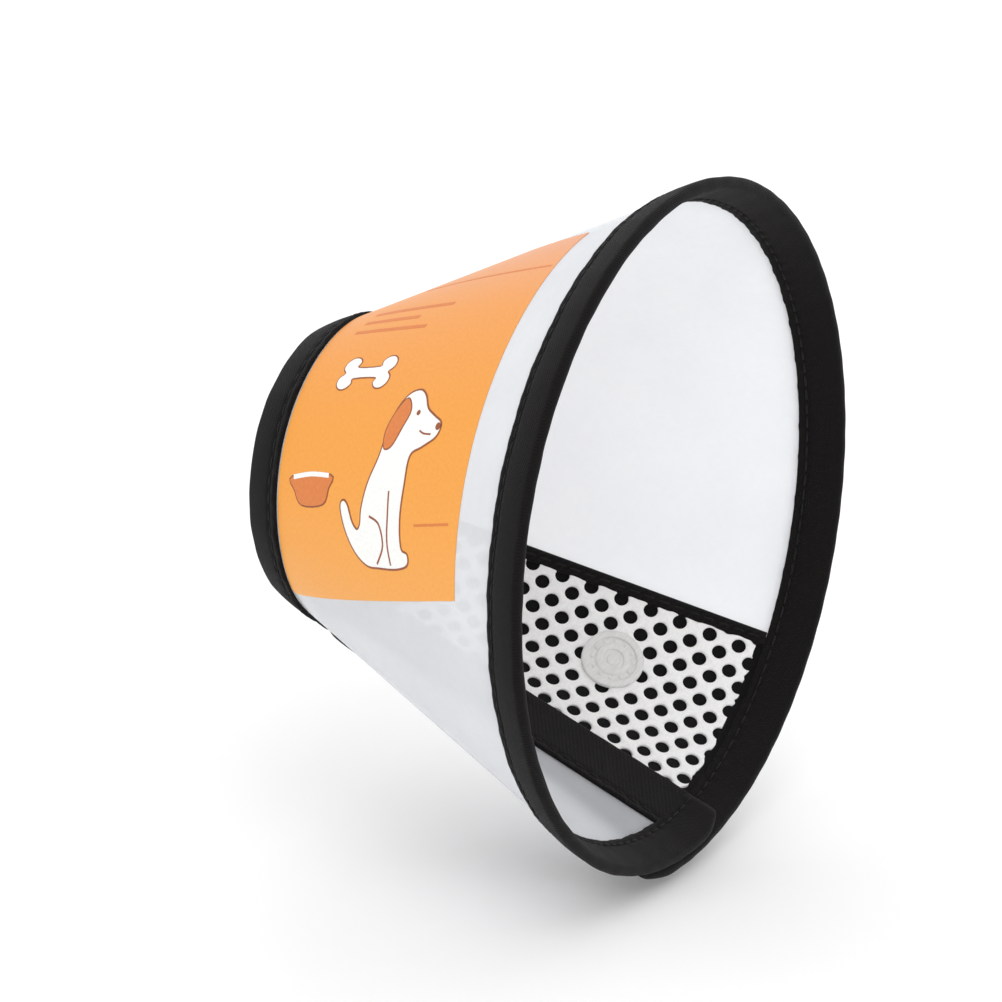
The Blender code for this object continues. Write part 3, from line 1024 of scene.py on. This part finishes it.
def printed(layer, outline, rises, slot):
    """A flat shape cut into 1 mm strips so that it follows the curve, given its thickness."""
    low, high = rises
    bm = bmesh.new()
    bm.faces.new([bm.verts.new((float(x), float(y), 0.0)) for x, y in outline])
    bm.normal_update()
    bmesh.ops.triangulate(bm, faces=bm.faces[:])
    heights = [y for _, y in outline]
    for y in marks(math.floor(min(heights)) + 0.5, max(heights), 1.0):
        bisect(bm, (0, y, 0), (0, 1, 0))
    fresh = thicken(bm)
    bm.verts.index_update()
    layer.add([(*label_sheet(v.co.x, v.co.y), high if v in fresh else low) for v in bm.verts],
              [[v.index for v in face.verts] for face in bm.faces], slot)
    bm.free()


def bordered(layer, outline, border, fill_slot, fill_rises, border_rises=FIRST_COAT):
    """A filled shape over a slightly larger dark one."""
    printed(layer, grown(outline, border), border_rises, DARK)
    printed(layer, outline, fill_rises, fill_slot)


def stroke(layer, points, width, rises, slot, parts=6):
    """A line of ink of the given width."""
    low, high = rises
    path = smooth(points, False, parts) + [np.array(points[-1], float)]
    columns = []
    for i, point in enumerate(path):
        way = path[min(i + 1, len(path) - 1)] - path[max(i - 1, 0)]
        side = np.array([-way[1], way[0]]) / max(np.linalg.norm(way), 1e-9) * width / 2
        left, right = label_sheet(*(point + side)), label_sheet(*(point - side))
        columns.append([(*left, low), (*left, high), (*right, high), (*right, low)])
    layer.sweep(columns, slot)


# outlines on the flat film: x towards the mouth, y up the page
DOG = [     # sitting, seen from the side
    (95.0, -29.5), (100.5, -29.8), (104.4, -29.2), (105.0, -27.4), (103.2, -26.2),
    (103.4, -21.0), (104.6, -14.5), (105.4, -9.0), (108.6, -7.4), (112.2, -5.6),
    (112.8, -3.2), (110.4, -1.8), (107.6, -0.2), (105.6, 2.4), (103.4, 3.6),
    (100.6, 2.8), (98.6, 0.2), (97.4, -3.8), (96.2, -9.0), (93.4, -14.0),
    (91.4, -18.6), (90.7, -21.4), (89.3, -22.5), (87.8, -21.0), (86.7, -18.0),
    (85.5, -17.0), (84.6, -18.2), (85.6, -22.6), (87.8, -26.6), (91.0, -29.0),
]
EAR = [(100.6, 2.0), (98.4, -0.4), (96.8, -4.2), (97.2, -7.4), (99.4, -7.0), (101.4, -3.6),
       (102.6, -0.4)]
DOG_LINES = [   # (points, width): foreleg, hind leg, mouth
    ([(99.2, -29.2), (99.0, -25.0), (99.8, -20.0), (100.2, -15.5)], 0.45),
    ([(94.6, -28.9), (97.4, -25.6), (96.8, -21.6), (93.8, -20.0)], 0.45),
    ([(110.6, -5.2), (108.4, -5.0), (107.0, -4.4)], 0.35),
]
DOG_DOTS = [(105.2, -0.9, 0.55), (112.3, -3.7, 0.75)]   # (x, y, radius): eye, nose
BOWL = [(68.9, -12.2), (81.3, -12.2), (80.6, -14.6), (78.6, -17.4), (71.6, -17.4),
        (69.6, -14.6)]
BOWL_RIM = [(69.4, -12.2), (75.1, -11.8), (80.8, -12.2)]
BONE_KNOBS = [  # (x, y, angles round the knob, points that follow it)
    (78.2, 6.4, (18, -20, -65, -110, -155, -200), [(77.3, 8.1)]),
    (78.2, 9.8, (200, 155, 110, 65, 25, -18), []),
    (89.4, 9.8, (198, 160, 115, 70, 25, -20), [(90.3, 8.1)]),
    (89.4, 6.4, (20, -25, -70, -115, -160, -198), []),
]
RULES = [       # (x from, x to, y, width)
    (70.0, 93.0, 19.0, 0.9), (70.0, 88.0, 22.0, 0.9), (70.0, 96.0, 25.0, 0.9),
    (76.0, 118.0, 33.5, 0.5), (108.0, 119.0, -22.0, 0.5),
]


def picture():
    layer = Layer()
    bordered(layer, smooth(DOG), 0.42, WHITE, (0.55, 0.60))
    bordered(layer, smooth(EAR), 0.30, MID, (0.62, 0.65), border_rises=(0.59, 0.625))
    for points, width in DOG_LINES:
        stroke(layer, points, width, (0.59, 0.625), DARK)
    for x, y, radius in DOG_DOTS:
        dot = [(x + radius * math.cos(k * math.pi / 6), y + radius * math.sin(k * math.pi / 6))
               for k in range(12)]
        printed(layer, dot, (0.59, 0.63), DARK)
    bordered(layer, smooth(BOWL, parts=4), 0.32, MID, (0.55, 0.59))
    stroke(layer, BOWL_RIM, 0.9, (0.58, 0.61), WHITE)
    bone = []
    for x, y, angles, notch in BONE_KNOBS:
        bone += [(x + 2.25 * math.cos(math.radians(angle)),
                  y + 1.8 * math.sin(math.radians(angle))) for angle in angles] + notch
    bordered(layer, smooth(bone, parts=3), 0.30, WHITE, (0.55, 0.60))
    for start, end, y, width in RULES:
        points = [(start, y), ((start + end) / 2, y), (end, y)]
        stroke(layer, points, width, (0.505, 0.55), MID, parts=10)
    return layer


# ---- build the parts
emit("sheet", sheet(), [SHEET], "cone_sheet", uv=fan_uv)
emit("rim_tape", round_tape(R_OUT, -1), [BLACK], "rim_tape",
     uv=round_uv(R_OUT), sharp=60)
emit("neck_tape", round_tape(R_IN, 1), [BLACK], "neck_tape",
     uv=round_uv(R_IN), sharp=60)
emit("inner_end_tape", end_tape(0.0, INNER_END, INNER_OUTSIDE, 1), [BAND],
     "inner_end", uv=ruling_uv(), sharp=60)
emit("outer_end_tape", end_tape(LAST, TAPE, TAPE, -1), [BLACK],
     "outer_end", uv=ruling_uv(LAST), sharp=60)
emit("loop_backing", loop_backing(), [BACKING], uv=backing_uv)
emit("loop_net", loop_net(), [MESH],
     ("loop_pad_upper", "loop_pad_middle", "loop_pad_lower"), uv=fan_uv, sharp=50)
emit("loop_edging", loop_edging(), [BAND], "loop_pad_edging",
     uv=ruling_uv(), sharp=60)
emit("stitches", stitches(), [THREAD], uv=stitch_uv, sharp=180, whole=True)
emit("hook_tape", hook_tape(), [HOOK], "hook_strip", uv=patch_uv)
emit("badge", badge(), [RUBBER], "badge", uv=patch_uv, sharp=30)
emit("label", film(), [LABEL], "label_", uv=label_uv)
emit("label_ink", picture(), [INK, DARK_INK, MID_INK], uv=label_uv, sharp=60)


# ---- studio: pale floor, soft light, and the camera (metres and watts)
CENTRE = Vector([(low + high) / 2 for low, high in zip(*CAD_BOUNDS)])
LIGHTS = [      # (name, location, size, power)
    ("key", (0.55, -0.75, 1.05), 0.7, 3.8),
    ("fill", (-1.0, -0.4, 0.7), 0.9, 1.2),
    ("back", (-0.3, 0.9, 0.9), 0.8, 3.0),
]
CAMERA_WAY = Vector((0.4545, -0.8282, 0.3280))      # from the collar towards the camera
CAMERA_DISTANCE = 2.0


def add_floor():
    bm = bmesh.new()
    bmesh.ops.create_grid(bm, x_segments=2, y_segments=2, size=8.0)
    mesh = bpy.data.meshes.new("floor")
    bm.to_mesh(mesh)
    bm.free()
    floor = bpy.data.objects.new("floor", mesh)
    floor.location = (0.0, 0.0, -0.0012)
    scene.collection.objects.link(floor)
    material, tree, surface = new_material("floor_look")
    shader = node(tree, "ShaderNodeBsdfPrincipled", Base_Color=(0.93, 0.93, 0.93, 1.0),
                  Roughness=0.9)
    tree.links.new(shader.outputs[0], surface)
    mesh.materials.append(material)


def add_world():
    world = bpy.data.worlds.new("studio")
    scene.world = world
    world.use_nodes = True
    background = world.node_tree.nodes["Background"]
    background.inputs["Color"].default_value = (1.0, 1.0, 1.0, 1.0)
    background.inputs["Strength"].default_value = 0.95


def add_light(name, location, size, power):
    """A square light aimed at the collar."""
    data = bpy.data.lights.new(name, "AREA")
    data.shape = "SQUARE"
    data.size = size
    data.energy = power
    light = bpy.data.objects.new(name, data)
    light.location = location
    light.rotation_euler = (CENTRE - Vector(location)).to_track_quat("-Z", "Y").to_euler()
    scene.collection.objects.link(light)


def add_camera():
    data = bpy.data.cameras.new("camera")
    data.lens = 385.0
    data.clip_end = 50.0
    camera = bpy.data.objects.new("camera", data)
    camera.location = CENTRE + CAMERA_WAY * CAMERA_DISTANCE
    camera.rotation_euler = CAMERA_WAY.to_track_quat("Z", "Y").to_euler()
    scene.collection.objects.link(camera)
    scene.camera = camera


add_floor()
add_world()
for light in LIGHTS:
    add_light(*light)
add_camera()
scene.view_settings.view_transform = "Standard"
